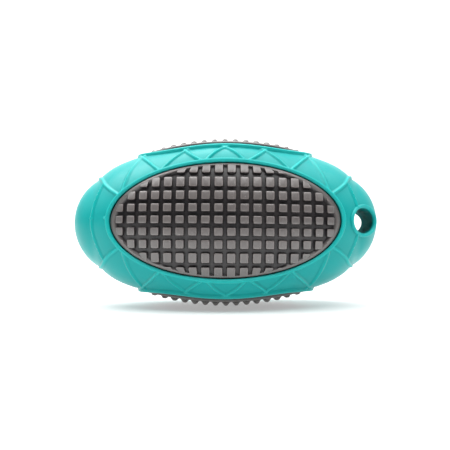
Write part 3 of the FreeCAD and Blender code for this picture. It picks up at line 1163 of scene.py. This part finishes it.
def stage_sheet(floor):
    """A white sheet that lies flat and then curves up behind the brush.

    The profile is a level stretch, a quarter circle and a level wall, carried along X.
    """
    bend = np.linspace(0, math.pi / 2, 24)
    radius, back, front, top = 0.5, 0.5, -0.27, 2.2
    y = np.concatenate([[front], back + radius * np.sin(bend), [back + radius]])
    z = np.concatenate([[0], radius * (1 - np.cos(bend)), [top]]) + floor
    x = np.array([-2.5, 2.5])
    points = np.stack(np.broadcast_arrays(x[:, None], y[None], z[None]), axis=-1)
    count = len(y)
    index = np.arange(count - 1)
    faces = np.stack([index, index + count, index + count + 1, index + 1], axis=-1)
    mesh = bpy.data.meshes.new("studio_sheet")
    mesh.from_pydata(points.reshape(-1, 3).tolist(), [], faces.tolist())
    mesh.polygons.foreach_set("use_smooth", np.ones(len(faces), dtype=bool))
    sheet = bpy.data.objects.new("studio_sheet", mesh)
    bpy.context.scene.collection.objects.link(sheet)
    return sheet


class BRUSH_OT_stage(bpy.types.Operator):
    """Set up the white sheet, the soft lights and the camera."""

    bl_idname = "brush.build_stage"
    bl_label = "Stage"

    def execute(self, context):
        sheet = stage_sheet(CAD_BOX[0][2] - 0.0005)
        dress(sheet, stage_material())
        area_light("overhead", (-0.1, -0.15, 0.9), (0, 0, 0), (1.6, 1.0), 23)
        for end, way in (("left", -1), ("right", 1)):
            area_light("side_" + end, (0.8 * way, 0.0, 0.5), (0, 0, 0), (0.5, 0.5), 1.2)
        area_light("backdrop_glow", (0, 0.3, 1.1), (0, 1.0, 0.25), (2.2, 0.5), 16)
        world = bpy.data.worlds.new("white_room")
        world.use_nodes = True
        nodes, links = world.node_tree.nodes, world.node_tree.links
        nodes["Background"].inputs["Color"].default_value = (1, 1, 1, 1)
        seen = nodes.new("ShaderNodeLightPath").outputs["Is Camera Ray"]
        strength = ramp(nodes, links, seen, 0.0, 1.0, 0.08, 1.0)
        links.new(strength, nodes["Background"].inputs["Strength"])
        context.scene.world = world
        context.scene.view_settings.view_transform = "Standard"
        camera = bpy.data.cameras.new("camera")
        camera.lens, camera.sensor_width = 48.75, 36
        camera.clip_start, camera.clip_end = 0.01, 20
        holder = bpy.data.objects.new("camera", camera)
        distance, dip, roll = 0.304, math.radians(1.8), math.radians(0.3)
        holder.location = (0, -distance * math.cos(dip), -distance * math.sin(dip))
        holder.rotation_euler = (math.pi / 2 + dip, roll, 0)
        camera.shift_x, camera.shift_y = -0.0013, -0.005
        context.scene.collection.objects.link(holder)
        context.scene.camera = holder
        return {"FINISHED"}


class BRUSH_PT_panel(bpy.types.Panel):
    """Sizes, colours and the steps that build the brush."""

    bl_idname = "BRUSH_PT_panel"
    bl_label = "Curry Brush"
    bl_space_type = "VIEW_3D"
    bl_region_type = "UI"
    bl_category = "Curry Brush"

    def draw(self, context):
        layout = self.layout
        for group in (context.scene.brush_sizes, context.scene.brush_colours):
            for name in type(group).__annotations__:
                layout.prop(group, name)
        for step in STEPS:
            layout.operator(step.bl_idname)


STEPS = (
    BRUSH_OT_stage,
    BRUSH_OT_frame,
    BRUSH_OT_hang_rings,
    BRUSH_OT_waffle_pads,
    BRUSH_OT_studded_pads,
    BRUSH_OT_core,
)
CLASSES = (BrushSizes, BrushColours, *STEPS, BRUSH_PT_panel)


def register():
    """Adds the settings, the steps and the panel."""
    for item in CLASSES:
        bpy.utils.register_class(item)
    bpy.types.Scene.brush_sizes = PointerProperty(type=BrushSizes)
    bpy.types.Scene.brush_colours = PointerProperty(type=BrushColours)


def unregister():
    """Takes them away again."""
    del bpy.types.Scene.brush_colours
    del bpy.types.Scene.brush_sizes
    for item in reversed(CLASSES):
        bpy.utils.unregister_class(item)


def main():
    """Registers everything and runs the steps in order."""
    register()
    for step in (
        bpy.ops.brush.build_stage,
        bpy.ops.brush.build_frame,
        bpy.ops.brush.build_hang_rings,
        bpy.ops.brush.build_waffle_pads,
        bpy.ops.brush.build_studded_pads,
        bpy.ops.brush.finish_core,
    ):
        step()


if __name__ == "__main__":
    main()
